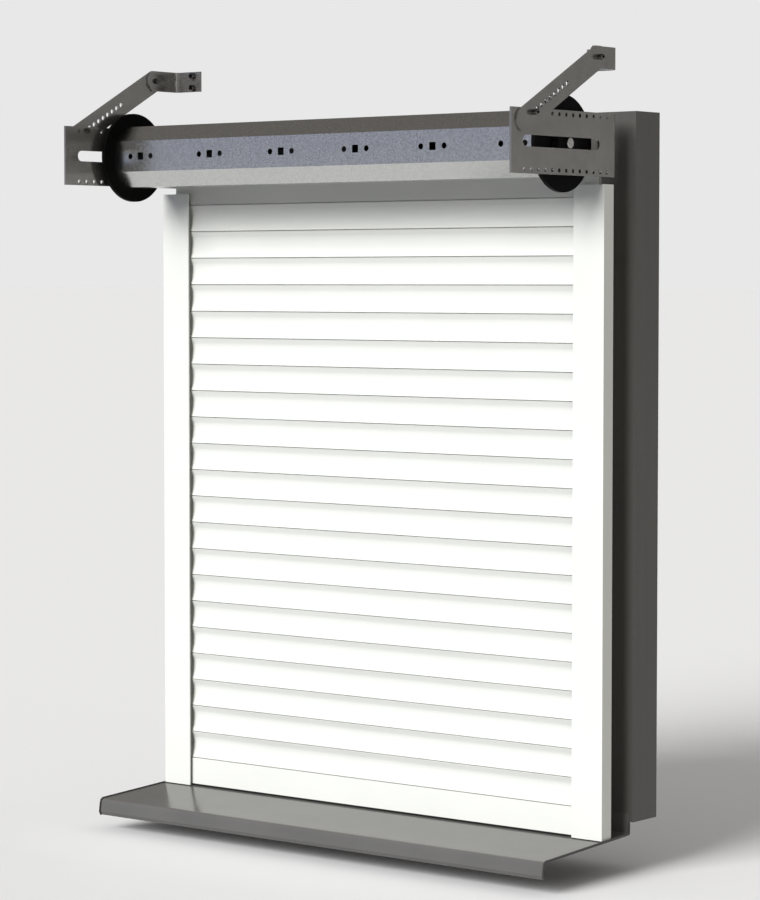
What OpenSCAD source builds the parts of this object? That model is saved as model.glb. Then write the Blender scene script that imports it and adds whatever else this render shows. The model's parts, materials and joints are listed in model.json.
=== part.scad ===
// Exterior roller shutter with its window frame, sill, guide rails, winding shaft and brackets.
// Millimetres. X runs along the window, Y points into the building and Z is up.
// The origin is the middle of the back face of the frame's base member.

/* [Window frame] */
// How far the frame stands out beyond a guide rail
frame_over = 8; // [0:0.5:30]
// Height of the frame
frame_h = 1004; // [960:1:1300]
// Depth of the frame
frame_d = 60; // [50:1:90]
// Face width of the frame's box profile
frame_box = 42; // [30:1:60]
// Face width of the glazing lip inside the box profile
frame_lip = 22; // [10:1:30]
// Depth of the glazing lip
frame_lip_d = 28; // [12:1:40]
// Wall of the frame profile
frame_wall = 2.5; // [1.5:0.1:4]

/* [Sill] */
// How far the sill sheet stands out beyond a guide rail
sill_over = 2; // [0:0.5:20]
// Reach of the sill in front of the frame
sill_reach = 208; // [150:1:260]
// Fall of the sill from the frame to its front bend
sill_fall = 10.2; // [4:0.1:20]
// Height of the sill's nose
sill_nose = 18.8; // [12:0.1:40]
// Height of the drip edge under the nose
sill_drip = 5.7; // [3:0.1:10]
// How far the nose leans forward
sill_lean = 2.8; // [0:0.1:6]
// Height of the upstand against the frame
sill_upstand = 30; // [24:1:50]
// Drop from the frame's underside to the back of the sill
sill_drop = 17; // [6:1:20]
// Thickness of the sill sheet
sill_t = 1.5; // [1:0.1:3]
// Width of the trim strip on each end of the sill
trim_w = 1.6; // [1:0.1:4]
// Height of the trim strip above the sill
trim_lip = 2; // [0.5:0.1:4]

/* [Guide rails] */
// Width over both rails
rail_span = 830; // [740:1:1000]
// Length of a rail
rail_len = 919; // [700:1:1000]
// Face width of a rail
rail_face = 52; // [40:1:70]
// Depth of a rail
rail_d = 23; // [20:0.5:32]
// Wall of the rail profile
rail_wall = 1.8; // [1.2:0.1:2.4]
// Width of the closed chamber at the rail's outer side
rail_chamber = 12; // [6:0.5:16]
// Width of a brush seal in the rail's mouth
brush_w = 6; // [3:0.5:10]
// Diameter of the stand-off tubes behind the rails
standoff_d = 16; // [10:0.5:18]
// Stand-off tubes on each rail
standoff_count = 3; // [2:1:5]
// Distance of the end stand-offs from the rail's ends
standoff_inset = 110; // [60:1:200]
// Diameter of the rail screws
rail_screw_d = 5; // [3:0.5:6]

/* [Curtain] */
// Distance from the frame's front to the slats' front
curtain_gap = 60; // [40:1:90]
// Height of one slat, joint to joint
slat_pitch = 40.9; // [37:0.1:55]
// Hollow of a slat's front face
slat_sag = 5; // [3:0.1:6]
// Height of the straight band at the top of a slat's front
slat_band = 8.4; // [5:0.1:11]
// Bulge of a slat's back face
slat_bulge = 3.5; // [2:0.1:4]
// Thickness of a slat at its joint
slat_t = 7.5; // [7:0.1:8.5]
// Wall of a slat
slat_wall = 1; // [0.6:0.1:1.2]
// Open line between two slats
slat_gap = 1.2; // [0.6:0.1:1.6]
// Diameter of the bead that hooks a slat to the one above
bead_d = 3.6; // [3:0.1:4]
// Height of the rubber seal under the end slat
seal_h = 2.6; // [1:0.1:6]

/* [Shaft] */
// Distance across the flats of the eight-sided shaft
shaft_af = 91.5; // [70:0.5:100]
// Cut of the shaft's four corners, along a flat
shaft_cut = 22.7; // [16:0.1:28]
// Wall of the shaft
shaft_wall = 1.2; // [0.8:0.1:2]
// Distance of the shaft's axis in front of the slats
shaft_front = 88; // [75:1:120]
// Distance from the shaft's left end to its first group of holes
group_start = 54; // [30:0.5:70]
// Distance between two groups of holes
group_pitch = 139; // [90:1:160]
// Distance of the round holes from the square one
group_step = 20.5; // [12:0.5:30]
// Diameter of the round holes
group_round = 8.5; // [4:0.5:9]
// Side of the square holes
group_square = 11; // [6:0.5:14]
// Diameter of the end discs
disc_d = 134; // [115:1:150]
// Thickness of the end discs
disc_t = 6; // [3:0.5:8]
// Gap between an end disc and the block beside it
disc_gap = 2.5; // [2:0.5:12]
// Width of the straps that hang the curtain
strap_w = 22; // [14:1:30]
// Thickness of the straps
strap_t = 1; // [0.6:0.1:1.5]
// Distance between two straps
strap_pitch = 278; // [150:1:320]

/* [Axle and motor] */
// Diameter of the axle pin
pin_d = 14.5; // [10:0.5:15]
// Outside diameter of the axle's bearing
bearing_d = 35; // [28:0.5:40]
// Width of the axle's bearing
bearing_w = 11; // [8:0.5:14]
// Length of the end capsule inside the shaft
capsule_len = 60; // [40:1:90]
// Diameter of the motor body
motor_d = 58; // [45:1:64]
// Length of the motor body
motor_len = 420; // [300:1:500]
// Wall of the motor body
motor_wall = 3; // [2:0.5:5]
// Diameter of the motor's head
motor_head_d = 50; // [40:0.5:54]
// Diameter of the motor's output spindle
spindle_d = 14; // [10:0.5:18]
// Length of the crown ring and of the drive wheel
wheel_len = 15; // [10:1:25]
// Side of the motor's square mounting stub
stub_w = 12; // [8:0.5:14]

/* [Brackets] */
// Distance from the slats' back to the wall's face
wall_gap = 16; // [12:0.5:30]
// Gap between a rail's top and the bracket plate
plate_gap = 10; // [4:1:25]
// Height of the bracket plates
plate_h = 88; // [84:1:120]
// Thickness of the bracket plates
plate_t = 3; // [2:0.5:4]
// Distance from the plate's front edge to the shaft's axis
plate_lead = 136; // [120:1:160]
// Width of the plate's wall flange
flange_w = 34; // [24:1:50]
// Bend radius of the sheet steel, outside
bend_r = 10; // [5:0.5:14]
// Length of the plate's slot
slot_len = 180; // [150:1:190]
// Distance from the plate's front edge to its slot
slot_front = 26.4; // [15:0.1:40]
// Distance between two holes of a row
row_pitch = 16.2; // [14:0.1:16.4]
// Distance from the plate's front edge to the first hole of a row
row_start = 29.4; // [20:0.1:40]
// Distance of the rows from the plate's edges
row_inset = 6; // [5:0.1:8]
// Diameter of the small holes in the plates
row_hole = 5.8; // [5.2:0.1:6.2]
// Distance between the two bolts of a foot
foot_bolts = 18.5; // [14:0.5:24]
// Diameter of the strut bolts
bolt_d = 5; // [4:0.1:5]
// Diameter of the wall bolts
wall_bolt_d = 6; // [5:0.5:8]
// Length of a wall bolt behind the wall's face
wall_bolt_len = 13; // [8:1:40]
// Diameter of the wall holes in the plates' flanges
flange_hole = 6.5; // [5:0.5:9]
// Distance between the wall holes in a flange
flange_holes = 56; // [40:1:64]
// Thickness of the blocks that carry the axle and the motor
block_t = 6; // [5:0.5:12]
// Width of the blocks that carry the axle and the motor
block_w = 46; // [34:1:56]

/* [Struts and feet] */
// Width of a strut
strut_w = 33; // [26:1:40]
// Thickness of a strut
strut_t = 3; // [2:0.5:6]
// Length of a strut from bolt to bolt
strut_len = 174; // [150:1:190]
// Slope of a strut
strut_angle = 28.2; // [25:0.1:33]
// Holes in a strut, with the pivot's own
strut_count = 9; // [4:1:11]
// Distance between two holes of a strut
strut_pitch = 11.2; // [9:0.1:13]
// Diameter of the free holes in a strut
strut_hole = 7; // [5:0.1:7.2]
// Length of a strut beyond its lower bolt
strut_tail = 22; // [0:1:26]
// Height of a foot
foot_h = 31; // [27:1:40]
// Reach of a foot along the wall
foot_reach = 51; // [48:1:70]
// Distance of the wall bolts from the foot's end
foot_bolt_inset = 14.5; // [10:0.5:18]
// Distance from a foot's front to its strut bolt
foot_nose = 16.5; // [12:0.5:24]
// Cut of a foot's front corners
foot_cut = 9.5; // [4:0.5:12]

/* [Hidden] */
$fn = 48;
// Clearances
seat = 0.3;
running = 0.05;
slide_fit = 0.2;
bolt_fit = 0.2;
end_fit = 1.2;
slot_fit = 1.2;
head_fit = 6;
screw_fit = 1;
pin_room = 6;
// How far a cut runs past the face it opens
past = 1;
// Heads of the fasteners
head_ratio = 1.6;
socket_ratio = 0.8;
collar_ratio = 1.6;
nut_ratio = 1.75;
nut_h = 4;
flat_head_t = 1.2;
sill_screw_d = 4;
sill_screw_len = 14;
sill_screw_count = 5;
disc_screw_d = 4;
disc_screw_len = 12;
block_screw_d = 4;

// Places along Y
frame_front = -frame_d;
curtain_y = frame_front - curtain_gap;
slat_depth = slat_t + slat_bulge;
rail_front = curtain_y - (rail_d - slat_depth) / 2;
rail_back = rail_front + rail_d;
axis_y = curtain_y - shaft_front;
wall_y = curtain_y + slat_depth + wall_gap;
plate_front = axis_y - plate_lead;

// Places along Z
frame_bottom = -frame_box / 2;
frame_mid = frame_bottom + frame_h / 2;
sill_back_y = frame_front - sill_t;
sill_back_z = frame_bottom - sill_drop;
sill_bend_y = frame_front - sill_reach;
sill_grade = sill_fall / (sill_back_y - sill_bend_y);
function sill_z(y) = sill_back_z - (sill_back_y - y) * sill_grade;
rail_bottom = sill_z(rail_back) + seat;
rail_top = rail_bottom + rail_len;
plate_bottom = rail_top + plate_gap;
plate_top = plate_bottom + plate_h;
axis_z = plate_bottom + plate_h / 2;
end_bottom = sill_z(curtain_y + slat_t) + seal_h + seat;
end_top = end_bottom + slat_pitch;

// Places along X, on the right side
rail_out = rail_span / 2;
frame_w = rail_span + 2 * frame_over;
sill_len = rail_span + 2 * sill_over;
plate_in = rail_out - plate_t;
block_in = plate_in - block_t;
disc_out = block_in - disc_gap;
shaft_end = disc_out - disc_t;
shaft_len = 2 * shaft_end;
rail_mouth = rail_out - rail_face;
channel_in = rail_out - 2 * rail_wall - rail_chamber;
slat_len = 2 * (channel_in - end_fit);
standoff_x = rail_mouth + brush_w + screw_fit + rail_screw_d;

// Curtain: as many slats as reach from the end slat to just under the shaft's axis
curtain_under_axis = 20;
slat_rows = floor((axis_z - curtain_under_axis - end_top) / slat_pitch);
curtain_top = end_top + slat_rows * slat_pitch;
bow_share = 0.4;
bow_steps = 12;
neck_t = 1.4;
bead_z = 4.3;
neck_y = (slat_t + bow(slat_pitch - bead_z, slat_sag) + bow(slat_pitch - bead_z, slat_bulge)) / 2;
mouth_w = neck_t + 4 * bolt_fit;

// Shaft
plug_inset = shaft_wall + slide_fit;
disc_bore = motor_head_d + head_fit;
group_count = floor((shaft_len - group_start - group_step) / group_pitch) + 1;
strap_off = seat + strap_t / 2;
strap_count = 3;
strap_rise = 9;
strap_hold = 24;

// Motor, at the left end of the shaft
motor_x = -shaft_end + 8;
motor_end = motor_x + motor_len;
motor_cap = 12;
wheel_gap = 10;
gland_d = 14;

// Struts and feet: bolt places in the YZ plane
slot_w = pin_d + slot_fit;
row_run = wall_y - plate_front - bend_r - row_start - row_hole;
row_count = floor(row_run / row_pitch) + 1;
pivot_index = 1;
function row_y(i) = plate_front + row_start + i * row_pitch;
pivot = [row_y(pivot_index), plate_top - row_inset];
function strut_point(s) = pivot + s * [cos(strut_angle), sin(strut_angle)];
foot_bolt = strut_point(strut_len);
foot_front = foot_bolt[0] - foot_nose;
foot_top = foot_bolt[1] + foot_h / 2;
wall_bolt_x = rail_out - foot_reach + foot_bolt_inset;
block_rows = [for (i = [0:row_count - 1]) if (abs(row_y(i) - axis_y) < block_w / 2 - 4) row_y(i)];

function two_digits(i) = str(i < 10 ? "0" : "", i);
function slat_name(i) = str("slat_", two_digits(i));

// Folded sheet: outline of a strip that follows a line of points, with mitred bends
function unit(v) = v / norm(v);
function left_of(v) = [-v[1], v[0]];
function run_dir(p, i) = unit(p[i + 1] - p[i]);
function bend_offset(p, i) =
    let (last = len(p) - 2,
         a = left_of(run_dir(p, max(i - 1, 0))),
         b = left_of(run_dir(p, min(i, last))),
         m = unit(a + b))
    m / (m * a);
function sheet_side(p, d) = [for (i = [0:len(p) - 1]) p[i] + d * bend_offset(p, i)];
function reversed(v) = [for (i = [len(v) - 1:-1:0]) v[i]];
module sheet(p, d0, d1) {
    polygon(concat(sheet_side(p, d0), reversed(sheet_side(p, d1))));
}

// Extrusions along the three axes; the flat shape's own axes are YZ, XZ and XY
module along_x(x0, x1) {
    translate([x0, 0, 0]) rotate([90, 0, 90]) linear_extrude(x1 - x0) children();
}
module along_y(y0, y1) {
    translate([0, y1, 0]) rotate([90, 0, 0]) linear_extrude(y1 - y0) children();
}
module along_z(z0, z1) {
    translate([0, 0, z0]) linear_extrude(z1 - z0) children();
}
module round_x(d, x0, x1, y, z) {
    translate([x0, y, z]) rotate([0, 90, 0]) cylinder(d = d, h = x1 - x0);
}
module round_y(d, x, y0, y1, z) {
    translate([x, y0, z]) rotate([-90, 0, 0]) cylinder(d = d, h = y1 - y0);
}
module on_left() {
    mirror([1, 0, 0]) children();
}
module on_both() {
    children();
    on_left() children();
}

// Cap screw along +Z: the head stands above the seat at z = 0, the shank goes down
module cap_screw(d, shank, head_h) {
    difference() {
        cylinder(d = d * head_ratio, h = head_h);
        translate([0, 0, head_h / 2]) cylinder(d = d * socket_ratio, h = head_h, $fn = 6);
    }
    translate([0, 0, -shank]) cylinder(d = d, h = shank);
}
// Screw along +Z with a thin flat head
module flat_screw(d, shank) {
    difference() {
        cylinder(d = 2 * d, h = flat_head_t);
        translate([0, 0, flat_head_t / 2]) cylinder(d = d * socket_ratio, h = flat_head_t, $fn = 6);
    }
    translate([0, 0, -shank]) cylinder(d = d, h = shank);
}
module hex_nut(d) {
    difference() {
        cylinder(d = d * nut_ratio, h = nut_h, $fn = 6);
        translate([0, 0, -past]) cylinder(d = d + bolt_fit / 2, h = nut_h + 2 * past);
    }
}

// Window frame: four hollow members with mitred corners
module mitred(length, u0, u1) {
    half = length / 2;
    polygon([[-half + u0, u0], [half - u0, u0], [half - u1, u1], [-half + u1, u1]]);
}
module frame_member(length) {
    lip_end = frame_box + frame_lip;
    difference() {
        union() {
            along_y(frame_front, 0) mitred(length, 0, frame_box);
            along_y(frame_front, frame_front + frame_lip_d) mitred(length, frame_box, lip_end);
        }
        along_y(frame_front + frame_wall, -frame_wall)
            mitred(length, frame_wall, frame_box - frame_wall);
        along_y(frame_front + frame_wall, frame_front + frame_lip_d - frame_wall)
            mitred(length, frame_box, lip_end - frame_wall);
    }
}
module frame_side(turn, length, offset) {
    color("#4a4846")
        translate([0, 0, frame_mid]) rotate([0, turn, 0]) translate([0, 0, -offset / 2])
            frame_member(length);
}
module frame_base() {
    difference() {
        frame_side(0, frame_w, frame_h);
        sill_screw_places() cylinder(d = sill_screw_d + bolt_fit, h = 2 * sill_screw_len, center = true);
    }
}
module frame_head() {
    frame_side(180, frame_w, frame_h);
}
module frame_jamb_left() {
    difference() {
        frame_side(90, frame_h, frame_w);
        on_left() standoff_places() rail_screw_hole();
    }
}
module frame_jamb_right() {
    difference() {
        frame_side(-90, frame_h, frame_w);
        standoff_places() rail_screw_hole();
    }
}

// Sill: upstand, sloping top, nose and drip edge, from the frame to the front
sill_path = [
    [sill_back_y, sill_back_z + sill_upstand],
    [sill_back_y, sill_back_z],
    [sill_bend_y, sill_z(sill_bend_y)],
    [sill_bend_y - sill_lean, sill_z(sill_bend_y) - sill_nose],
    [sill_bend_y, sill_z(sill_bend_y) - sill_nose - sill_drip]];
module sill() {
    color("#8f918b") difference() {
        along_x(-sill_len / 2, sill_len / 2) sheet(sill_path, 0, sill_t);
        sill_screw_places() cylinder(d = sill_screw_d + bolt_fit, h = 2 * sill_screw_len, center = true);
    }
}
module sill_trims() {
    low_path = [for (i = [1:len(sill_path) - 1]) sill_path[i]];
    color("#5c5b59") on_both()
        along_x(sill_len / 2, sill_len / 2 + trim_w)
            sheet(concat([[sill_back_y, frame_bottom]], low_path), -trim_lip, sill_t);
}
module sill_screw_places() {
    step = sill_len / sill_screw_count;
    z = (frame_bottom + sill_back_z + sill_upstand) / 2;
    for (i = [0:sill_screw_count - 1])
        translate([(i + 0.5) * step - sill_len / 2, sill_back_y, z]) rotate([90, 0, 0]) children();
}

// Guide rails: a closed chamber outside and an open channel for the slats' ends
module rail_section() {
    difference() {
        translate([rail_mouth, rail_front]) square([rail_face, rail_d]);
        translate([rail_out - rail_wall - rail_chamber, rail_front + rail_wall])
            square([rail_chamber, rail_d - 2 * rail_wall]);
        translate([channel_in - rail_face, rail_front + rail_wall])
            square([rail_face, rail_d - 2 * rail_wall]);
    }
}
module standoff_places() {
    step = (rail_len - 2 * standoff_inset) / (standoff_count - 1);
    for (i = [0:standoff_count - 1])
        translate([standoff_x, rail_back, rail_bottom + standoff_inset + i * step])
            rotate([-90, 0, 0]) children();
}
module rail_screw_hole() {
    translate([0, 0, -2 * rail_wall])
        cylinder(d = rail_screw_d + bolt_fit, h = frame_front - rail_back + 4 * (rail_wall + frame_wall));
}
module guide_rail_right() {
    color("#f4f5f1") difference() {
        along_z(rail_bottom, rail_top) rail_section();
        standoff_places() rail_screw_hole();
    }
}
module guide_rail_left() {
    on_left() guide_rail_right();
}
module rail_brush_pair() {
    front = rail_front + rail_wall;
    back = curtain_y + slat_depth + seat;
    along_z(rail_bottom, rail_top) {
        translate([rail_mouth, front]) square([brush_w, curtain_y - seat - front]);
        translate([rail_mouth, back]) square([brush_w, rail_back - rail_wall - back]);
    }
}
module rail_brushes() {
    color("#3b3b39") on_both() rail_brush_pair();
}
module rail_standoffs() {
    length = frame_front - rail_back;
    color("#b9bab8") on_both() standoff_places() difference() {
        cylinder(d = standoff_d, h = length);
        translate([0, 0, -past]) cylinder(d = rail_screw_d + bolt_fit, h = length + 2 * past);
    }
}

// Screws into the frame: those of the sill's upstand and, through the stand-offs, the rails' own
module frame_screws() {
    shank = frame_front - rail_back + rail_wall + 2 * frame_wall;
    color("#b9bab8") {
        sill_screw_places() cap_screw(sill_screw_d, sill_screw_len, sill_screw_d / 2);
        on_both() standoff_places()
            translate([0, 0, -rail_wall]) mirror([0, 0, 1]) flat_screw(rail_screw_d, shank);
    }
}

// Bracket plates: a slotted web with two rows of holes, bent into a wall flange
function bent_leg(x, y0, y1, x_end, r) = concat(
    [[x, y0]],
    [for (a = [0:15:90]) [x - r + r * cos(a), y1 - r + r * sin(a)]],
    [[x_end, y1]]);
module bracket_plate_right() {
    slot_y = plate_front + slot_front + slot_w / 2;
    slot_end = slot_len - slot_w;
    flange_x = plate_in - (flange_w - plate_t) / 2;
    color("#646461") difference() {
        along_z(plate_bottom, plate_top)
            sheet(bent_leg(rail_out, plate_front, wall_y, rail_out - flange_w, bend_r), 0, plate_t);
        for (y = [0, slot_end])
            round_x(slot_w, plate_in - past, rail_out + past, slot_y + y, axis_z);
        translate([plate_in - past, slot_y, axis_z - slot_w / 2])
            cube([plate_t + 2 * past, slot_end, slot_w]);
        for (i = [0:row_count - 1], z = [plate_bottom + row_inset, plate_top - row_inset])
            round_x(row_hole, plate_in - past, rail_out + past, row_y(i), z);
        for (s = [-1, 1])
            round_y(flange_hole, flange_x, wall_y - plate_t - past, wall_y + past,
                axis_z + s * flange_holes / 2);
    }
}
module bracket_plate_left() {
    on_left() bracket_plate_right();
}

// Struts: flat bars with round ends, outside the plates, cut level with the feet
module strut_right() {
    color("#646461") difference() {
        translate([rail_out, pivot[0], pivot[1]]) rotate([strut_angle, 0, 0]) {
            for (s = [-strut_tail, strut_len])
                translate([0, s, 0]) rotate([0, 90, 0]) cylinder(d = strut_w, h = strut_t);
            translate([0, -strut_tail, -strut_w / 2])
                cube([strut_t, strut_tail + strut_len, strut_w]);
        }
        for (i = [1:strut_count - 1])
            let (p = strut_point(i * strut_pitch))
                round_x(strut_hole, rail_out - past, rail_out + strut_t + past, p[0], p[1]);
        for (p = [pivot, foot_bolt])
            round_x(row_hole, rail_out - past, rail_out + strut_t + past, p[0], p[1]);
        translate([rail_out - past, foot_bolt[0] - strut_w, foot_top])
            cube([strut_t + 2 * past, 2 * strut_w, strut_w]);
    }
}
module strut_left() {
    on_left() strut_right();
}

// Feet: one leg behind the strut's upper end, the other flat on the wall
module foot_right() {
    color("#6a6a67") difference() {
        along_z(foot_top - foot_h, foot_top)
            sheet(bent_leg(rail_out, foot_front, wall_y, rail_out - foot_reach, bend_r), 0, plate_t);
        for (s = [-1, 1])
            translate([0, foot_front, foot_bolt[1] + s * foot_h / 2]) rotate([45, 0, 0])
                cube([2 * rail_span, foot_cut * sqrt(2), foot_cut * sqrt(2)], center = true);
        round_x(row_hole, plate_in - past, rail_out + past, foot_bolt[0], foot_bolt[1]);
        for (s = [-1, 1])
            round_y(wall_bolt_d + bolt_fit, wall_bolt_x, wall_y - plate_t - past, wall_y + past,
                foot_bolt[1] + s * foot_bolts / 2);
    }
}
module foot_left() {
    on_left() foot_right();
}
module strut_bolt(p) {
    translate([rail_out + strut_t, p[0], p[1]]) rotate([0, 90, 0])
        cap_screw(bolt_d, strut_t + plate_t + nut_h + 1, bolt_d * head_ratio);
    translate([plate_in - nut_h, p[0], p[1]]) rotate([0, 90, 0]) hex_nut(bolt_d);
}
module wall_bolt(z) {
    translate([wall_bolt_x, wall_y, z]) rotate([90, 0, 0]) {
        translate([0, 0, plate_t]) cap_screw(wall_bolt_d + bolt_fit / 2, plate_t, wall_bolt_d);
        translate([0, 0, -wall_bolt_len]) cylinder(d = wall_bolt_d, h = wall_bolt_len + past);
    }
}
module bracket_bolts() {
    color("#333332") on_both() {
        strut_bolt(pivot);
        strut_bolt(foot_bolt);
        for (s = [-1, 1])
            wall_bolt(foot_bolt[1] + s * foot_bolts / 2);
    }
}

// Blocks on the plates' inner faces that carry the axle and the motor
module block_body() {
    height = plate_h - row_inset / 2;
    translate([block_in, axis_y - block_w / 2, axis_z - height / 2]) cube([block_t, block_w, height]);
}
module block_screw_places() {
    for (y = block_rows, z = [plate_bottom + row_inset, plate_top - row_inset])
        translate([block_in, y, z]) rotate([0, -90, 0]) children();
}
module block_holes() {
    block_screw_places() translate([0, 0, -2 * block_t])
        cylinder(d = block_screw_d + bolt_fit, h = 3 * block_t);
}
module axle_block() {
    color("#1c1c1c") difference() {
        block_body();
        round_x(pin_d + 2 * running, block_in - past, plate_in + past, axis_y, axis_z);
        block_holes();
    }
}
module motor_bracket() {
    side = stub_w + bolt_fit;
    color("#1c1c1c") on_left() difference() {
        block_body();
        translate([block_in - past, axis_y - side / 2, axis_z - side / 2])
            cube([block_t + 2 * past, side, side]);
        block_holes();
    }
}
module block_screws() {
    color("#333332") on_both() block_screw_places()
        flat_screw(block_screw_d, block_t + plate_t / 2);
}

// Axle pin, with a collar against its block
module axle_pin() {
    color("#9b9b97") {
        round_x(pin_d, shaft_end - capsule_len / 2, rail_out + past, axis_y, axis_z);
        round_x(collar_ratio * pin_d, disc_out + seat, block_in, axis_y, axis_z);
    }
}

// Motor body and head, held still inside the turning shaft
module motor_body() {
    color("#3a3a3a") difference() {
        round_x(motor_d, motor_x, motor_end, axis_y, axis_z);
        round_x(motor_d - 2 * motor_wall, motor_x - past, motor_end - motor_cap, axis_y, axis_z);
        round_x(spindle_d + 2 * running, motor_end - motor_cap - past, motor_end + past, axis_y, axis_z);
    }
}
module motor_head() {
    plug_d = motor_d - 2 * motor_wall - bolt_fit;
    color("#222222") difference() {
        union() {
            round_x(plug_d, motor_x, motor_x + motor_cap, axis_y, axis_z);
            round_x(motor_head_d, -block_in, motor_x, axis_y, axis_z);
            translate([-plate_in, axis_y - stub_w / 2, axis_z - stub_w / 2])
                cube([block_t, stub_w, stub_w]);
        }
        translate([-block_in + gland_d / 2, axis_y, axis_z - motor_head_d / 2])
            cylinder(d = gland_d / 2, h = gland_d);
    }
}

// Shaft: eight-sided tube with groups of round, square and round holes through two flats
function flat_reach(inset) = shaft_af / 2 - inset;
function flat_half(inset) = shaft_af / 2 - shaft_cut - inset * tan(22.5);
module octagon(inset) {
    a = flat_reach(inset);
    b = flat_half(inset);
    translate([axis_y, axis_z])
        polygon([[a, -b], [a, b], [b, a], [-b, a], [-a, b], [-a, -b], [-b, -a], [b, -a]]);
}
module shaft_tube() {
    color("#a4a8b0") difference() {
        along_x(-shaft_end, shaft_end) octagon(0);
        along_x(-shaft_end - past, shaft_end + past) octagon(shaft_wall);
        for (i = [0:group_count - 1])
            let (x = -shaft_end + group_start + i * group_pitch) {
                for (s = [-1, 1])
                    round_y(group_round, x + s * group_step, axis_y - shaft_af, axis_y + shaft_af, axis_z);
                translate([x, axis_y, axis_z])
                    cube([group_square, 2 * shaft_af, group_square], center = true);
            }
    }
}
module disc_screw_places() {
    ring = (disc_bore + shaft_af) / 2;
    for (a = [45:90:315])
        translate([disc_out, axis_y + ring / 2 * cos(a), axis_z + ring / 2 * sin(a)])
            rotate([0, 90, 0]) children();
}
module disc_screw_holes() {
    disc_screw_places() translate([0, 0, -2 * disc_screw_len])
        cylinder(d = disc_screw_d + bolt_fit, h = 3 * disc_screw_len);
}
module disc_right() {
    color("#0f0f0f") difference() {
        round_x(disc_d, shaft_end, disc_out, axis_y, axis_z);
        round_x(disc_bore, shaft_end - past, disc_out + past, axis_y, axis_z);
        disc_screw_holes();
    }
}
module disc_left() {
    on_left() disc_right();
}
module disc_screws() {
    color("#8c8c89") on_both() disc_screw_places() flat_screw(disc_screw_d, disc_screw_len);
}
module end_capsule() {
    color("#1c1c1c") difference() {
        along_x(shaft_end - capsule_len, shaft_end) octagon(plug_inset);
        round_x(bearing_d + bolt_fit / 2, shaft_end - bearing_w, shaft_end + past, axis_y, axis_z);
        round_x(pin_d + pin_room, shaft_end - capsule_len - past, shaft_end, axis_y, axis_z);
        disc_screw_holes();
    }
}
module axle_bearing() {
    color("#b9bab8") difference() {
        round_x(bearing_d, shaft_end - bearing_w, shaft_end, axis_y, axis_z);
        round_x(pin_d + 2 * running, shaft_end - bearing_w - past, shaft_end + past, axis_y, axis_z);
    }
}
module crown_ring() {
    color("#1c1c1c") difference() {
        along_x(-shaft_end, -shaft_end + wheel_len) octagon(plug_inset);
        round_x(motor_d + 2 * running, motor_x - seat, -shaft_end + wheel_len + past, axis_y, axis_z);
        round_x(disc_bore, -shaft_end - past, motor_x + past, axis_y, axis_z);
        on_left() disc_screw_holes();
    }
}
// The drive wheel carries the motor's output spindle
module drive_wheel() {
    x0 = motor_end + wheel_gap;
    color("#1c1c1c") {
        along_x(x0, x0 + wheel_len) octagon(plug_inset);
        round_x(spindle_d, motor_end - motor_cap + past, x0 + past, axis_y, axis_z);
    }
}

// Slats: hollow profiles, bowed away from the viewer, each hooked to the one above by a bead
function bow_r(reach, sag) = (sag * sag + reach * reach) / (2 * sag);
function bow(z, sag) =
    let (deep = bow_share * slat_pitch,
         r = bow_r(z < deep ? deep : slat_pitch - deep, sag))
    sag - r + sqrt(r * r - (z - deep) * (z - deep));
function bow_line(y, sag, z0, z1) =
    [for (i = [0:bow_steps]) let (z = z0 + (z1 - z0) * i / bow_steps) [y + bow(z, sag), -z]];
// The front starts with a straight band, so its line meets the bow at the band's lower end
module bowed(inset) {
    z0 = slat_gap / 2 + inset;
    z1 = slat_pitch - z0;
    band_top = [inset + bow(slat_band, slat_sag) * z0 / slat_band, -z0];
    polygon(concat([band_top], bow_line(inset, slat_sag, slat_band, z1),
        reversed(bow_line(slat_t - inset, slat_bulge, z0, z1))));
}
// The neck starts in the slat's top wall and ends in the bead
module hook() {
    translate([neck_y - neck_t / 2, -slat_gap / 2 - slat_wall / 2])
        square([neck_t, bead_z + slat_gap / 2 + slat_wall / 2]);
    translate([neck_y, bead_z]) circle(d = bead_d);
}
module mouth() {
    translate([neck_y - mouth_w / 2, -slat_pitch]) square([mouth_w, slat_gap + slat_wall]);
}
module curtain_row(z) {
    along_x(-slat_len / 2, slat_len / 2) translate([curtain_y, z]) children();
}
module slat(i) {
    color("#f4f5f1") curtain_row(curtain_top - (i - 1) * slat_pitch) {
        difference() {
            bowed(0);
            bowed(slat_wall);
            mouth();
        }
        hook();
    }
}
module end_slat() {
    depth = slat_t;
    height = slat_pitch - slat_gap / 2;
    color("#f4f5f1") curtain_row(end_top) {
        difference() {
            translate([0, -slat_pitch]) square([depth, height]);
            translate([slat_wall, slat_wall - slat_pitch])
                square([depth - 2 * slat_wall, height - 2 * slat_wall]);
        }
        hook();
    }
}
module bottom_seal() {
    color("#2b2b2a") curtain_row(end_bottom)
        translate([slat_wall, -seal_h]) square([slat_t - 2 * slat_wall, seal_h]);
}

// Straps: from the top slat's bead over to the shaft, and flat against its upper back slope
strap_foot = [curtain_y + neck_y + bead_d / 2 + seat + strap_t / 2, curtain_top];
strap_knee = strap_foot + [0, strap_rise];
strap_bend = [axis_y + flat_reach(-strap_off), axis_z + flat_half(-strap_off)];
strap_end = strap_bend + strap_hold * [-sin(45), cos(45)];
strap_path = [strap_foot, strap_knee, strap_bend, strap_end];
module curtain_straps() {
    color("#9b9b97") for (i = [0:strap_count - 1])
        let (x = (i - (strap_count - 1) / 2) * strap_pitch)
            along_x(x - strap_w / 2, x + strap_w / 2) sheet(strap_path, -strap_t / 2, strap_t / 2);
}

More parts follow.
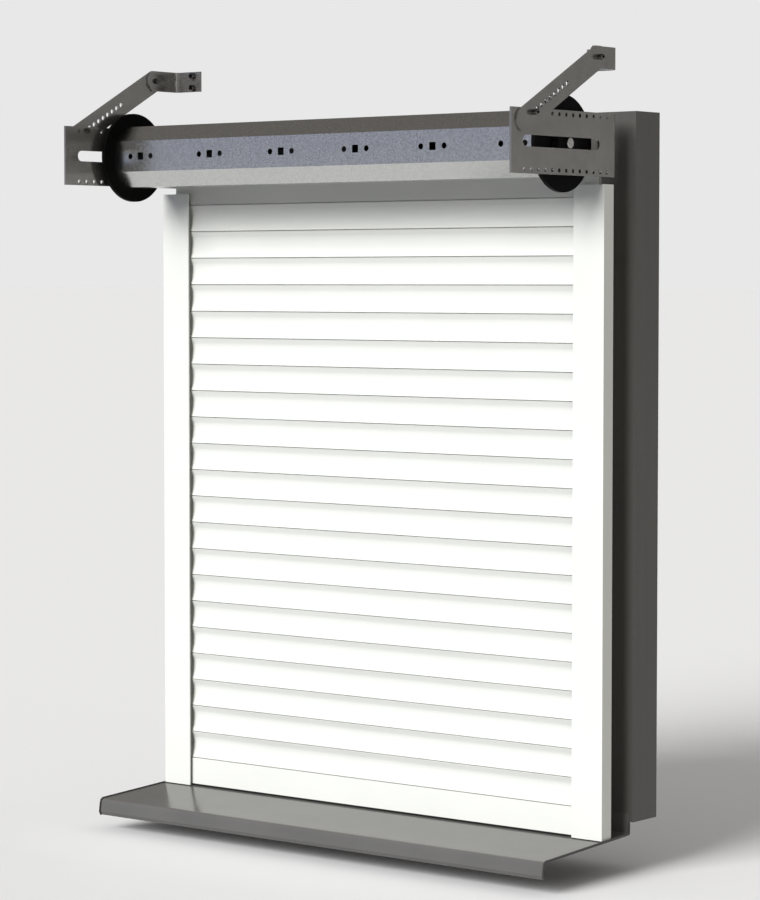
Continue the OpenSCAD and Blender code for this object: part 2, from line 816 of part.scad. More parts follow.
frame_head();
frame_base();
frame_jamb_left();
frame_jamb_right();
sill();
sill_trims();
guide_rail_left();
guide_rail_right();
rail_brushes();
rail_standoffs();
frame_screws();
bracket_plate_left();
bracket_plate_right();
strut_left();
strut_right();
foot_left();
foot_right();
bracket_bolts();
axle_pin();
axle_block();
motor_bracket();
block_screws();
motor_body();
motor_head();
shaft_tube();
disc_left();
disc_right();
disc_screws();
end_capsule();
axle_bearing();
crown_ring();
drive_wheel();
for (i = [1:slat_rows])
    slat(i);
end_slat();
bottom_seal();
curtain_straps();
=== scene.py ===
"""Looks of an exterior roller shutter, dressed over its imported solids. Metres, +Z up."""

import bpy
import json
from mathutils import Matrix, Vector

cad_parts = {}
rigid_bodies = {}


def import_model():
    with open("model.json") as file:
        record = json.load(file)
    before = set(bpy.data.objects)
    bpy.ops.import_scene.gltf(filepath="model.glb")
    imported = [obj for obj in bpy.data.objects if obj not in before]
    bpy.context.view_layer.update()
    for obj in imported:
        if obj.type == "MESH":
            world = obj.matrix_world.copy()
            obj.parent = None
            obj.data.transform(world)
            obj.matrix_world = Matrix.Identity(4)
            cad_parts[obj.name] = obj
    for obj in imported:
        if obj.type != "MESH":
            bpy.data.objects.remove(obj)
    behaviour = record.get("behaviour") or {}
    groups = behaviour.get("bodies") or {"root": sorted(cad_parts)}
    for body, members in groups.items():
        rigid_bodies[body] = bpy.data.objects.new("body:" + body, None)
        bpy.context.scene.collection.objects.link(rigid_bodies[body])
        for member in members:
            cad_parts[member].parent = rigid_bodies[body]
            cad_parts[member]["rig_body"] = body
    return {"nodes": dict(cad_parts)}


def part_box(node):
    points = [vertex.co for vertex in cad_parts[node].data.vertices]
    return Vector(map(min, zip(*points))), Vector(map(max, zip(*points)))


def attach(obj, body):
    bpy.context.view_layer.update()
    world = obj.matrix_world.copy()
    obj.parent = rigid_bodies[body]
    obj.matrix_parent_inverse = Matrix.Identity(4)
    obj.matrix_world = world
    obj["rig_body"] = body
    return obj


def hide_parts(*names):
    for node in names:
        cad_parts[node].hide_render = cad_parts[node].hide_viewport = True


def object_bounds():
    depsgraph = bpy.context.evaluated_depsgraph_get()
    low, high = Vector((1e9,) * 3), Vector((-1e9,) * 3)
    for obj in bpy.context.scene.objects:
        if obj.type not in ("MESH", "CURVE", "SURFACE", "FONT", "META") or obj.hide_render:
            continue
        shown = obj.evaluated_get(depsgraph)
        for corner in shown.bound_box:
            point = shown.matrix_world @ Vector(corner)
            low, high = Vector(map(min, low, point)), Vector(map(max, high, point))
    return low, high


bl_info = {
    "name": "Exterior roller shutter",
    "version": (1, 0, 0),
    "blender": (4, 5, 0),
    "location": "View3D > Sidebar > Shutter",
    "description": "Dresses a roller shutter: slats, guide rails, winding shaft, brackets, sill and stage",
    "category": "Object",
}

import json
import math

import bmesh
import bpy
from bpy.props import FloatProperty, FloatVectorProperty, IntProperty, PointerProperty
from mathutils import Matrix, Vector

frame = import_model()
CAD_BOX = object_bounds()
MM = 0.001

# Corners nearer than this are one, in solids and in new meshes
SAME_CORNER = 1e-6
SAME_POINT = 1e-7

# Angles that make an edge sharp, eased, folded or flat, and the length that makes it long
SHARP_ANGLE = math.radians(40)
EASED_ANGLE = math.radians(30)
FOLD_ANGLE = math.radians(50)
FLAT_ANGLE = math.radians(0.5)
LONG_EDGE = 0.5

# Places that the solids give
SLAT_NODES = sorted(name for name in frame["nodes"] if name.startswith("slat_"))
SLAT_LOW, SLAT_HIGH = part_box(SLAT_NODES[0])
SLAT_PITCH = SLAT_LOW.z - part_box(SLAT_NODES[1])[0].z
SILL_LOW, SILL_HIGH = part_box("sill")
TRIM_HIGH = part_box("sill_trims")[1]
BRUSH_LOW, BRUSH_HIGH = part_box("rail_brushes")
TUBE_LOW, TUBE_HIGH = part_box("shaft_tube")


def tone(red, green, blue):
    """A screen colour, 0 to 255 a channel, as the linear colour that shaders take."""
    def linear(value):
        share = value / 255
        return share / 12.92 if share <= 0.04045 else ((share + 0.055) / 1.055) ** 2.4
    return linear(red), linear(green), linear(blue)


def length_prop(name, text, value):
    return FloatProperty(name=name, description=text, default=value, unit="LENGTH")


def colour_prop(name, text, value):
    return FloatVectorProperty(name=name, description=text, default=value, subtype="COLOR", size=3,
                               min=0.0, max=1.0)


def angle_prop(name, text, degrees):
    return FloatProperty(name=name, description=text, default=math.radians(degrees), subtype="ANGLE")


class ShutterSizes(bpy.types.PropertyGroup):
    """Sizes of the forms that the dressing adds"""

    slat_gap: length_prop("Slat gap", "Open line between two slats", 1.2 * MM)
    slat_sag: length_prop("Slat sag", "Hollow of a slat's front face", 5 * MM)
    slat_band: length_prop("Slat band", "Height of the straight band at a slat's top", 8.4 * MM)
    slat_joint: length_prop("Slat joint", "Thickness of a slat at its joint", 7.5 * MM)
    slat_wall: length_prop("Slat wall", "Wall of a slat", 1.0 * MM)
    slat_edge: length_prop("Slat edge", "Rounding of a slat's long edges", 0.5 * MM)
    mouth_room: length_prop("Mouth room", "Room on each side of the neck in a slat's mouth", 0.4 * MM)
    hook_neck: length_prop("Hook neck", "Thickness of the neck that joins two slats", 1.4 * MM)
    hook_bead: length_prop("Hook bead", "Diameter of the bead on the neck", 3.6 * MM)
    bristle_step: length_prop("Bristle step", "Distance between two rows of bristles", 1.6 * MM)
    bristle_rows: IntProperty(name="Bristle rows", description="Bristles side by side", default=4)
    bristle_thickness: length_prop("Bristle thickness", "Thickness of a bristle tuft", 0.7 * MM)
    brush_backing: length_prop("Brush backing", "Thickness of the strip that holds the bristles", 0.8 * MM)
    rail_edge: length_prop("Rail edge", "Rounding of the guide rails' edges", 1.1 * MM)
    profile_edge: length_prop("Profile edge", "Rounding of frame and plastic edges", 0.7 * MM)
    mitre_edge: length_prop("Mitre edge", "Rounding of the frame's mitred corners", 0.05 * MM)
    sheet_edge: length_prop("Sheet edge", "Rounding of cut steel edges", 0.35 * MM)
    tube_edge: length_prop("Tube edge", "Rounding of the winding shaft's long edges", 1.6 * MM)
    seal_edge: length_prop("Seal edge", "Rounding of the rubber seal", 0.3 * MM)
    strap_edge: length_prop("Strap edge", "Rounding of the straps", 0.15 * MM)
    cut_edge: length_prop("Cut edge", "Rounding of cut edges on sill and tube", 0.25 * MM)
    standoff_edge: length_prop("Stand-off edge", "Rounding of the stand-off tubes", 0.5 * MM)
    pin_edge: length_prop("Pin edge", "Rounding of the axle pin", 0.6 * MM)
    disc_edge: length_prop("Disc edge", "Rounding of the end discs' rims", 1.0 * MM)
    sill_fall: length_prop("Sill fall", "Fall of the sill from the frame to its front bend", 10.2 * MM)
    sill_nose: length_prop("Sill nose", "Height of the sill's nose", 18.8 * MM)
    sill_lean: length_prop("Sill lean", "How far the nose leans forward", 2.8 * MM)
    sill_upstand: length_prop("Sill upstand", "Height of the upstand against the frame", 30 * MM)
    sill_sheet: length_prop("Sill sheet", "Thickness of the sill sheet", 1.5 * MM)
    sill_bend: length_prop("Sill bend", "Radius of the sill's front bend", 6 * MM)
    sill_heel: length_prop("Sill heel", "Radius of the bend below the upstand", 2.5 * MM)
    sill_hem: length_prop("Sill hem", "Radius of the bend at the drip edge", 2 * MM)
    trim_lip: length_prop("Trim lip", "Height of the end trims above the sill", 2.0 * MM)
    cap_height: length_prop("Cap height", "Height of a strut bolt's head", 8 * MM)
    wall_cap_height: length_prop("Wall cap height", "Height of a wall bolt's head", 6 * MM)
    sill_cap_height: length_prop("Sill cap height", "Height of a sill screw's head", 2 * MM)
    flat_height: length_prop("Flat height", "Height of a flat screw head", 1.2 * MM)
    nut_bore: length_prop("Nut bore", "Radius of a nut's bore", 2.55 * MM)
    stud_radius: length_prop("Stud radius", "Radius of a wall bolt's shank", 3 * MM)
    rail_screw: length_prop("Rail screw", "Frame screws longer than this hold a rail", 25 * MM)


class ShutterColours(bpy.types.PropertyGroup):
    """Colours of the finishes"""

    white: colour_prop("White coat", "Powder coat of slats and rails", tone(228, 229, 223))
    sill: colour_prop("Sill coat", "Gloss coat of the sill", tone(97, 96, 94))
    trim: colour_prop("Trim coat", "Coat of the sill's end trims", tone(62, 61, 60))
    frame: colour_prop("Frame coat", "Textured coat of the window frame", tone(85, 84, 81))
    zinc: colour_prop("Zinc", "Galvanised sheet of the winding shaft", tone(212, 213, 211))
    bracket: colour_prop("Bracket steel", "Rolled steel of plates, struts and feet", tone(160, 158, 155))
    bolt: colour_prop("Bolt steel", "Plated steel of screws, pin and tubes", tone(190, 189, 186))
    dark_bolt: colour_prop("Dark bolts", "Blackened steel of the bracket bolts", tone(108, 107, 105))
    black: colour_prop("Black plastic", "Discs, blocks and capsules", tone(12, 12, 12))
    brush: colour_prop("Brush", "Bristles of the rails' seals", tone(150, 153, 150))
    # Painted shade: this dark colour stands in for the shade inside the winding shaft, not for the zinc's
    # own colour
    tube_inside: colour_prop("Tube inside", "Dull inner face of the winding shaft", tone(22, 22, 22))
    rubber: colour_prop("Rubber", "Seal under the end slat", tone(34, 34, 33))
    motor: colour_prop("Motor paint", "Painted tube of the motor", tone(40, 40, 40))


class ShutterStage(bpy.types.PropertyGroup):
    """Camera, floor and lights"""

    camera_x: length_prop("Camera X", "Camera's place along the window", 2853.3 * MM)
    camera_y: length_prop("Camera Y", "Camera's place in front of the window", -3666.7 * MM)
    camera_z: length_prop("Camera Z", "Camera's height", 745.1 * MM)
    camera_yaw: angle_prop("Camera yaw", "Turn of the view to the left of the window's normal", 38.70)
    camera_pitch: angle_prop("Camera pitch", "Tilt of the view below the horizon", 3.135)
    camera_lens: FloatProperty(name="Lens", description="Focal length in millimetres on a 36 mm sensor",
                               default=123.34)
    floor_gap: length_prop("Floor gap", "Distance from the shutter's lowest point to the floor", 22 * MM)
    floor_half: length_prop("Floor half", "Half the side of the floor", 300.0)
    floor_colour: colour_prop("Floor", "Colour of the floor", tone(233, 233, 233))
    # Painted shade: the floor's colour near the front of the shutter is darker than the even floor colour
    floor_front: colour_prop("Floor front", "Floor in front of the shutter", tone(223, 223, 223))
    backdrop: colour_prop("Backdrop", "Tone of the plain background", tone(232, 232, 232))
    key_strength: FloatProperty(name="Key", description="Strength of the key light", default=3.86)
    key_height: angle_prop("Key height", "Height of the key light above the horizon", 28)
    key_side: angle_prop("Key side", "Turn of the key light to the left of the window's normal", 5)
    key_size: angle_prop("Key size", "Width of the key light as seen from the shutter", 34)
    top_strength: FloatProperty(name="Top", description="Strength of the soft overhead light", default=0.66)
    top_height: angle_prop("Top height", "Height of the overhead light above the horizon", 89)
    top_size: angle_prop("Top size", "Width of the overhead light as seen from the shutter", 110)


def sizes():
    return bpy.context.scene.shutter_sizes


def colours():
    return bpy.context.scene.shutter_colours


# Node trees
class Graph:
    """Adds nodes to a node tree and links them"""

    def __init__(self, tree):
        self.tree = tree

    def add(self, kind, inputs=None, **settings):
        """A new node; its inputs are given by name, or by number where names repeat"""
        made = self.tree.nodes.new(kind)
        for name, value in settings.items():
            setattr(made, name, value)
        for key, value in (inputs or {}).items():
            named = (s for s in made.inputs if s.name == key and s.enabled)
            socket = made.inputs[key] if isinstance(key, int) else next(named)
            if isinstance(value, bpy.types.NodeSocket):
                self.tree.links.new(value, socket)
            else:
                socket.default_value = value
        return made

    def noise(self, coords, scale, detail=2.0):
        made = self.add("ShaderNodeTexNoise", {"Vector": coords, "Scale": scale, "Detail": detail})
        return made.outputs[0]

    def stretched(self, coords, scale):
        return self.add("ShaderNodeMapping", {"Vector": coords, "Scale": scale}).outputs["Vector"]

    def shades(self, factor, low, high, start=0.3, end=0.7):
        """A colour between two shades, driven by a factor"""
        ramp = self.add("ShaderNodeValToRGB", {"Fac": factor})
        first, last = ramp.color_ramp.elements
        first.position = start
        first.color = (*low, 1.0)
        last.position = end
        last.color = (*high, 1.0)
        return ramp.outputs["Color"]

    def spread(self, factor, low, high, start=0.3, end=0.7):
        """A number between two limits, driven by a factor"""
        made = self.add("ShaderNodeMapRange", {
            "Value": factor, "From Min": start, "From Max": end, "To Min": low, "To Max": high})
        return made.outputs["Result"]

    def times(self, value, factor):
        return self.add("ShaderNodeMath", {0: value, 1: factor}, operation="MULTIPLY").outputs[0]

    def relief(self, height, depth):
        return self.add("ShaderNodeBump", {"Height": height, "Distance": depth}).outputs["Normal"]


def scaled(values, share):
    return tuple(value * share for value in values)


def finish(maker):
    """The material that a maker function builds, made once"""
    name = "finish_" + maker.__name__
    found = bpy.data.materials.get(name)
    return found or maker(name)


def new_finish(name, **constants):
    """A material with its constant shader sockets set; also its graph and its object coordinates"""
    material = bpy.data.materials.new(name)
    material.use_nodes = True
    shader = material.node_tree.nodes["Principled BSDF"]
    for label, value in constants.items():
        shader.inputs[label.replace("_", " ")].default_value = value
    graph = Graph(material.node_tree)
    return material, graph, graph.add("ShaderNodeTexCoord").outputs["Object"]


def dress(material, graph, colour, roughness, normal):
    shader = material.node_tree.nodes["Principled BSDF"]
    graph.tree.links.new(colour, shader.inputs["Base Color"])
    graph.tree.links.new(roughness, shader.inputs["Roughness"])
    graph.tree.links.new(normal, shader.inputs["Normal"])
    return material


def mottled(name, colour, broad, fine, shades, roughness, depth, worn=False, detail=2.0, **constants):
    """A finish mottled by a broad noise, with a fine relief; where it is worn, the mottle sets the gloss"""
    material, graph, coords = new_finish(name, **constants)
    cloud = graph.noise(coords, broad, detail)
    grain = graph.noise(coords, fine)
    dark, light = (scaled(colour, share) for share in shades)
    return dress(material, graph, graph.shades(cloud, dark, light),
                 graph.spread(cloud if worn else grain, *roughness), graph.relief(grain, depth))


def white_coat(name):
    """White powder coat with a faint orange peel"""
    return mottled(name, colours().white, broad=7.0, fine=950.0, shades=(0.965, 1.0),
                   roughness=(0.34, 0.44), depth=0.03 * MM)


def sill_coat(name):
    """Smooth gloss coat on folded aluminium"""
    return mottled(name, colours().sill, broad=9.0, fine=700.0, shades=(0.94, 1.04),
                   roughness=(0.15, 0.19), depth=0.004 * MM, worn=True, Specular_IOR_Level=0.36)


def trim_coat(name):
    """Satin coat of the sill's end trims"""
    return mottled(name, colours().trim, broad=40.0, fine=900.0, shades=(0.85, 1.1),
                   roughness=(0.38, 0.5), depth=0.02 * MM, worn=True)


def frame_coat(name):
    """Fine textured dark coat with faint vertical streaks"""
    material, graph, coords = new_finish(name)
    grey = tuple(colours().frame)
    streaks = graph.noise(graph.stretched(coords, (90.0, 90.0, 3.0)), 1.0, 3.0)
    grit = graph.noise(coords, 1300.0)
    return dress(material, graph, graph.shades(streaks, scaled(grey, 0.95), scaled(grey, 1.04)),
                 graph.spread(grit, 0.42, 0.58), graph.relief(grit, 0.05 * MM))


def zinc_sheet(name):
    """Galvanised sheet: a mottle of small crystals over a bluish mirror"""
    material, graph, coords = new_finish(name, Metallic=1.0)
    zinc = tuple(colours().zinc)
    cells = graph.add("ShaderNodeTexVoronoi", {"Vector": coords, "Scale": 640.0})
    crystal = graph.add("ShaderNodeSeparateColor", {"Color": cells.outputs["Color"]}).outputs[0]
    fine = graph.noise(coords, 900.0)
    return dress(material, graph, graph.shades(crystal, scaled(zinc, 0.8), zinc, 0.0, 1.0),
                 graph.spread(crystal, 0.19, 0.27, 0.0, 1.0), graph.relief(fine, 0.005 * MM))


def tube_inside(name):
    """Painted shade on the tube's inner faces: a dark, dull colour that stands in for the shade inside the
    shaft
    """
    return mottled(name, colours().tube_inside, broad=80.0, fine=900.0, shades=(0.8, 1.2),
                   roughness=(0.6, 0.75), depth=0.01 * MM, Specular_IOR_Level=0.1)


def bracket_steel(name):
    """Dull rolled steel plate with a fine grain and soft blotches"""
    material, graph, coords = new_finish(name, Metallic=0.8)
    steel = tuple(colours().bracket)
    grain = graph.noise(graph.stretched(coords, (260.0, 260.0, 900.0)), 1.0, 3.0)
    blotch = graph.noise(coords, 45.0, 3.0)
    return dress(material, graph, graph.shades(blotch, scaled(steel, 0.86), steel),
                 graph.spread(grain, 0.17, 0.23), graph.relief(grain, 0.003 * MM))


def bolt_steel(name):
    """Plated steel of screws, pin and tubes"""
    return plated(name, colours().bolt, 0.24)


def dark_bolts(name):
    """Blackened steel of the bolts and nuts on the brackets"""
    return plated(name, colours().dark_bolt, 0.1)


def plated(name, steel, smooth):
    """Small turned steel parts with faint blotches"""
    return mottled(name, steel, broad=300.0, fine=2200.0, shades=(0.84, 1.0),
                   roughness=(smooth, 1.4 * smooth), depth=0.008 * MM, worn=True, detail=3.0, Metallic=1.0)


def black_plastic(name):
    """Moulded black plastic with a fine matt grain"""
    return mottled(name, colours().black, broad=60.0, fine=1600.0, shades=(0.8, 1.2),
                   roughness=(0.42, 0.56), depth=0.03 * MM, Specular_IOR_Level=0.03)


def brush_fibre(name):
    """Grey pile of the brush seals, mottled tuft by tuft"""
    return mottled(name, colours().brush, broad=700.0, fine=700.0, shades=(0.6, 1.4),
                   roughness=(0.6, 0.8), depth=0.02 * MM)


def seal_rubber(name):
    """Matt black rubber"""
    return mottled(name, colours().rubber, broad=120.0, fine=120.0, shades=(0.8, 1.2),
                   roughness=(0.6, 0.75), depth=0.02 * MM)


def motor_paint(name):
    """Dark paint on the motor's tube"""
    return mottled(name, colours().motor, broad=30.0, fine=900.0, shades=(0.92, 1.0),
                   roughness=(0.35, 0.5), depth=0.02 * MM)


# Meshes
def add_object(name, mesh):
    made = bpy.data.objects.new(name, mesh)
    bpy.context.scene.collection.objects.link(made)
    return made


def mesh_of(name, bm):
    """Turns a bmesh into a mesh with smooth faces and sharp edges marked by angle"""
    mesh = bpy.data.meshes.new(name)
    bm.to_mesh(mesh)
    bm.free()
    mesh.polygons.foreach_set("use_smooth", [True] * len(mesh.polygons))
    mesh.set_sharp_from_angle(angle=SHARP_ANGLE)
    return mesh


def seat(piece, nodes):
    """Puts a finished piece on its nodes' body in place of those nodes"""
    if not nodes:
        raise RuntimeError(f"{piece.name} stands for no solid")
    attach(piece, frame["nodes"][nodes[0]]["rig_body"])
    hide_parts(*nodes)
    return piece


def merged_copy(node):
    """A bmesh of a solid with its corners merged and its flat faces joined"""
    bm = bmesh.new()
    bm.from_mesh(frame["nodes"][node].data)
    bmesh.ops.remove_doubles(bm, verts=bm.verts, dist=SAME_CORNER)
    bmesh.ops.dissolve_limit(bm, angle_limit=FLAT_ANGLE, verts=bm.verts, edges=bm.edges)
    return bm


def eased(node, name, material, edge, long_edge=None):
    """A copy of a solid with its sharp edges eased; the long ones may take a larger rounding"""
    bm = merged_copy(node)
    widest = max(edge, long_edge or edge)
    weights = bm.edges.layers.float.new("bevel_weight_edge")
    for rim in bm.edges:
        if len(rim.link_faces) == 2 and rim.calc_face_angle() > EASED_ANGLE:
            large = long_edge and rim.calc_length() > LONG_EDGE
            rim[weights] = (long_edge if large else edge) / widest
    piece = add_object(name, mesh_of(name, bm))
    piece.data.materials.append(material)
    bevel = piece.modifiers.new("Eased edges", "BEVEL")
    bevel.limit_method = "WEIGHT"
    bevel.width = widest
    bevel.segments = 3
    even = piece.modifiers.new("Even shading", "WEIGHTED_NORMAL")
    even.keep_sharp = True
    return seat(piece, [node])


def paint_solid(node, material):
    """Gives a solid that keeps its own mesh a better finish"""
    mesh = frame["nodes"][node].data
    mesh.materials.clear()
    mesh.materials.append(material)


def islands(node):
    """Boxes of the separate solids in a node, as pairs of corners"""
    bm = merged_copy(node)
    left = set(bm.verts)
    found = []
    while left:
        group = {left.pop()}
        edge_of = set(group)
        while edge_of:
            edge_of = {e.other_vert(v) for v in edge_of for e in v.link_edges} - group
            group |= edge_of
        left -= group
        low = Vector(min(v.co[i] for v in group) for i in range(3))
        high = Vector(max(v.co[i] for v in group) for i in range(3))
        found.append((low, high))
    bm.free()
    return sorted(found, key=lambda box: tuple(round(c, 5) for c in (*box[0], *box[1])))


def extruded(pairs, x0, x1):
    """A bmesh of a wall along X; each pair is the wall's two sides, as points in YZ"""
    bm = bmesh.new()
    a, b = ([[bm.verts.new((x, *point)) for point in pair] for pair in pairs] for x in (x0, x1))
    last = len(pairs) - 1
    for i in range(last):
        j = i + 1
        bm.faces.new((a[i][0], a[j][0], b[j][0], b[i][0]))
        bm.faces.new((a[i][1], b[i][1], b[j][1], a[j][1]))
        bm.faces.new((a[i][0], a[i][1], a[j][1], a[j][0]))
        bm.faces.new((b[i][0], b[j][0], b[j][1], b[i][1]))
    for i in (0, last):
        bm.faces.new((a[i][0], b[i][0], b[i][1], a[i][1]))
    bmesh.ops.remove_doubles(bm, verts=bm.verts, dist=SAME_POINT)
    bmesh.ops.dissolve_degenerate(bm, edges=bm.edges, dist=SAME_POINT)
    bmesh.ops.recalc_face_normals(bm, faces=bm.faces)
    return bm


def turned(rings, count=24):
    """A closed bmesh from rings along +Z; each ring is a height and a radius, or a function of the angle"""
    bm = bmesh.new()
    stack = []
    for height, radius in rings:
        ring = []
        for i in range(count):
            angle = 2 * math.pi * i / count
            reach = radius(angle) if callable(radius) else radius
            ring.append(bm.verts.new((reach * math.cos(angle), reach * math.sin(angle), height)))
        stack.append(ring)
    for low, high in zip(stack, stack[1:]):
        for i in range(count):
            j = (i + 1) % count
            bm.faces.new((low[i], low[j], high[j], high[i]))
    bm.faces.new(reversed(stack[0]))
    bm.faces.new(stack[-1])
    bmesh.ops.recalc_face_normals(bm, faces=bm.faces)
    return bm


def hexagon(flats):
    """Radius of a hexagon of that width across its flats, as a function of the angle"""
    sixth = math.pi / 3

    def radius(angle):
        return flats / 2 / math.cos((angle + sixth / 2) % sixth - sixth / 2)
    return radius


# Geometry Nodes
def node_tree(name, labels):
    """A Geometry Nodes tree with named inputs; also its graph, its inputs and their identifiers"""
    tree = bpy.data.node_groups.new(name, "GeometryNodeTree")
    tree.is_modifier = True
    tree.interface.new_socket("Geometry", in_out="INPUT", socket_type="NodeSocketGeometry")
    keys = {}
    for label, kind in labels.items():
        socket = tree.interface.new_socket(label, in_out="INPUT", socket_type="NodeSocket" + kind)
        keys[label] = socket.identifier
    tree.interface.new_socket("Geometry", in_out="OUTPUT", socket_type="NodeSocketGeometry")
    graph = Graph(tree)
    return graph, graph.add("NodeGroupInput").outputs, keys


def end_tree(graph, geometry, material):
    real = graph.add("GeometryNodeRealizeInstances", {"Geometry": geometry})
    painted = graph.add("GeometryNodeSetMaterial", {"Geometry": real.outputs[0], "Material": material})
    graph.add("NodeGroupOutput", {"Geometry": painted.outputs[0]})


def grow(piece, tree, keys, values):
    """Runs a tree on a piece and keeps the result as its plain mesh"""
    modifier = piece.modifiers.new(tree.name, "NODES")
    modifier.node_group = tree
    for label, value in values.items():
        modifier[keys[label]] = value
    graph = bpy.context.evaluated_depsgraph_get()
    mesh = bpy.data.meshes.new_from_object(
        piece.evaluated_get(graph), preserve_all_data_layers=True, depsgraph=graph)
    if not mesh.polygons:
        raise RuntimeError(f"{piece.name}: its tree made no faces")
    piece.modifiers.remove(modifier)
    mesh.materials.clear()
    mesh.materials.append(values["Finish"])
    piece.data = mesh
    return piece


def points_with_turns(name, places):
    """A mesh of loose points, each with the turn that its copy takes"""
    mesh = bpy.data.meshes.new(name)
    mesh.from_pydata([tuple(point) for point, turn in places], [], [])
    turns = mesh.attributes.new("turn", "FLOAT_VECTOR", "POINT")
    for item, (point, turn) in zip(turns.data, places):
        item.vector = turn
    return mesh


def copies_tree():
    """Sets copies of one part on points, each turned as its point says"""
    found = bpy.data.node_groups.get("Copies on points")
    if found:
        return found, {item.name: item.identifier for item in found.interface.items_tree}
    graph, given, keys = node_tree("Copies on points", {"Part": "Object", "Finish": "Material"})
    part = graph.add("GeometryNodeObjectInfo", {"Object": given["Part"], "As Instance": True})
    turn = graph.add("GeometryNodeInputNamedAttribute", {"Name": "turn"}, data_type="FLOAT_VECTOR")
    copies = graph.add("GeometryNodeInstanceOnPoints", {
        "Points": given["Geometry"], "Instance": part.outputs["Geometry"], "Rotation": turn.outputs[0]})
    end_tree(graph, copies.outputs[0], given["Finish"])
    return graph.tree, keys


def set_copies(name, part_mesh, places, material):
    """One object of copies of a part, on the given points and turns"""
    part = add_object(name + "_part", part_mesh)
    piece = add_object(name, points_with_turns(name, places))
    tree, keys = copies_tree()
    grow(piece, tree, keys, {"Part": part, "Finish": material})
    bpy.data.objects.remove(part)
    return piece


def joined(name, pieces):
    """One object from several plain meshes of one finish"""
    material = pieces[0].data.materials[0]
    bm = bmesh.new()
    for piece in pieces:
        bm.from_mesh(piece.data)
        bpy.data.objects.remove(piece)
    made = add_object(name, mesh_of(name, bm))
    made.data.materials.append(material)
    return made


# Curtain
BOW_SHARE = 0.4
BAND_KINK = 0.2 * MM
BOW_STEPS = 14
CORNER_STEPS = 3


def bow(drop, sag):
    """Depth of a slat's hollow at a drop below its top line; the deepest point lies above the middle"""
    deep = BOW_SHARE * SLAT_PITCH
    reach = deep if drop < deep else SLAT_PITCH - deep
    radius = (sag * sag + reach * reach) / (2 * sag)
    return sag - radius + math.sqrt(radius * radius - (drop - deep) ** 2)


def corner(centre, radius, start):
    """Points of a quarter round"""
    angles = [start - math.pi / 2 * i / CORNER_STEPS for i in range(CORNER_STEPS + 1)]
    return [(centre[0] + radius * math.cos(a), centre[1] + radius * math.sin(a)) for a in angles]


def slat_outline(inset, edge):
    """A slat's section from its mouth round the back, top and front, in depth and drop"""
    size = sizes()
    bulge = SLAT_HIGH.y - SLAT_LOW.y - size.slat_joint
    top = size.slat_gap / 2 + inset
    bottom = SLAT_PITCH - top
    mouth_half = size.hook_neck / 2 + size.mouth_room
    neck = neck_depth()

    band = size.slat_band

    def front(drop):
        if drop > band:
            return inset + bow(drop, size.slat_sag)
        return inset + bow(band, size.slat_sag) * drop / band

    def back(drop):
        return size.slat_joint - inset + bow(drop, bulge)
    drops = [top + edge + (bottom - top - 2 * edge) * i / BOW_STEPS for i in range(BOW_STEPS + 1)]
    below = band + BAND_KINK
    front_drops = [top + edge, band - BAND_KINK, below]
    front_drops += [below + (bottom - edge - below) * i / BOW_STEPS for i in range(1, BOW_STEPS + 1)]
    ease = max(edge, SAME_CORNER)
    outline = [(neck + mouth_half, bottom)]
    outline += corner((back(bottom) - ease, bottom - ease), ease, math.pi / 2)
    outline += [(back(drop), drop) for drop in reversed(drops)]
    outline += corner((back(top) - ease, top + ease), ease, 0)
    outline += corner((front(top) + ease, top + ease), ease, -math.pi / 2)
    outline += [(front(drop), drop) for drop in front_drops]
    outline += corner((front(bottom) + ease, bottom - ease), ease, -math.pi)
    outline.append((neck - mouth_half, bottom))
    return outline


def neck_depth():
    size = sizes()
    bulge = SLAT_HIGH.y - SLAT_LOW.y - size.slat_joint
    drop = SLAT_PITCH - hook_rise()
    return (size.slat_joint + bow(drop, size.slat_sag) + bow(drop, bulge)) / 2


def hook_rise():
    """Height of the bead's middle above the slat's top line"""
    size = sizes()
    top_line = SLAT_LOW.z + SLAT_PITCH - size.slat_gap / 2
    return SLAT_HIGH.z - size.hook_bead / 2 - top_line


def hook_outline():
    """Section of the neck and bead that hang a slat from the one above, as a closed loop"""
    size = sizes()
    half = size.hook_neck / 2
    radius = size.hook_bead / 2
    spread = math.asin(half / radius)
    steps = 12
    loop = [(half, -size.slat_gap), (half, hook_rise() - radius * math.cos(spread))]
    for i in range(1, steps):
        angle = -math.pi / 2 + spread + (2 * math.pi - 2 * spread) * i / steps
        loop.append((radius * math.cos(angle), hook_rise() + radius * math.sin(angle)))
    loop += [(-half, hook_rise() - radius * math.cos(spread)), (-half, -size.slat_gap)]
    return [(neck_depth() + y, z) for y, z in loop]


def prism(loop, x0, x1):
    """A closed bmesh of a flat loop in YZ, drawn out along X"""
    bm = bmesh.new()
    first = [bm.verts.new((x0, y, z)) for y, z in loop]
    second = [bm.verts.new((x1, y, z)) for y, z in loop]
    count = len(loop)
    for i in range(count):
        j = (i + 1) % count
        bm.faces.new((first[i], first[j], second[j], second[i]))
    bm.faces.new(reversed(first))
    bm.faces.new(second)
    bmesh.ops.recalc_face_normals(bm, faces=bm.faces)
    return bm


def one_slat():
    """The top slat: a bowed hollow profile with its hook"""
    size = sizes()
    top_line = SLAT_LOW.z + SLAT_PITCH - size.slat_gap / 2
    outside = slat_outline(0.0, size.slat_edge)
    inside = slat_outline(size.slat_wall, 0.0)

    def place(point):
        return SLAT_LOW.y + point[0], top_line - point[1]
    wall = extruded([(place(a), place(b)) for a, b in zip(outside, inside)], SLAT_LOW.x, SLAT_HIGH.x)
    hook = prism([(SLAT_LOW.y + y, top_line + z) for y, z in hook_outline()], SLAT_LOW.x, SLAT_HIGH.x)
    hook_mesh = bpy.data.meshes.new("hook")
    hook.to_mesh(hook_mesh)
    hook.free()
    wall.from_mesh(hook_mesh)
    bpy.data.meshes.remove(hook_mesh)
    return mesh_of("slat", wall)


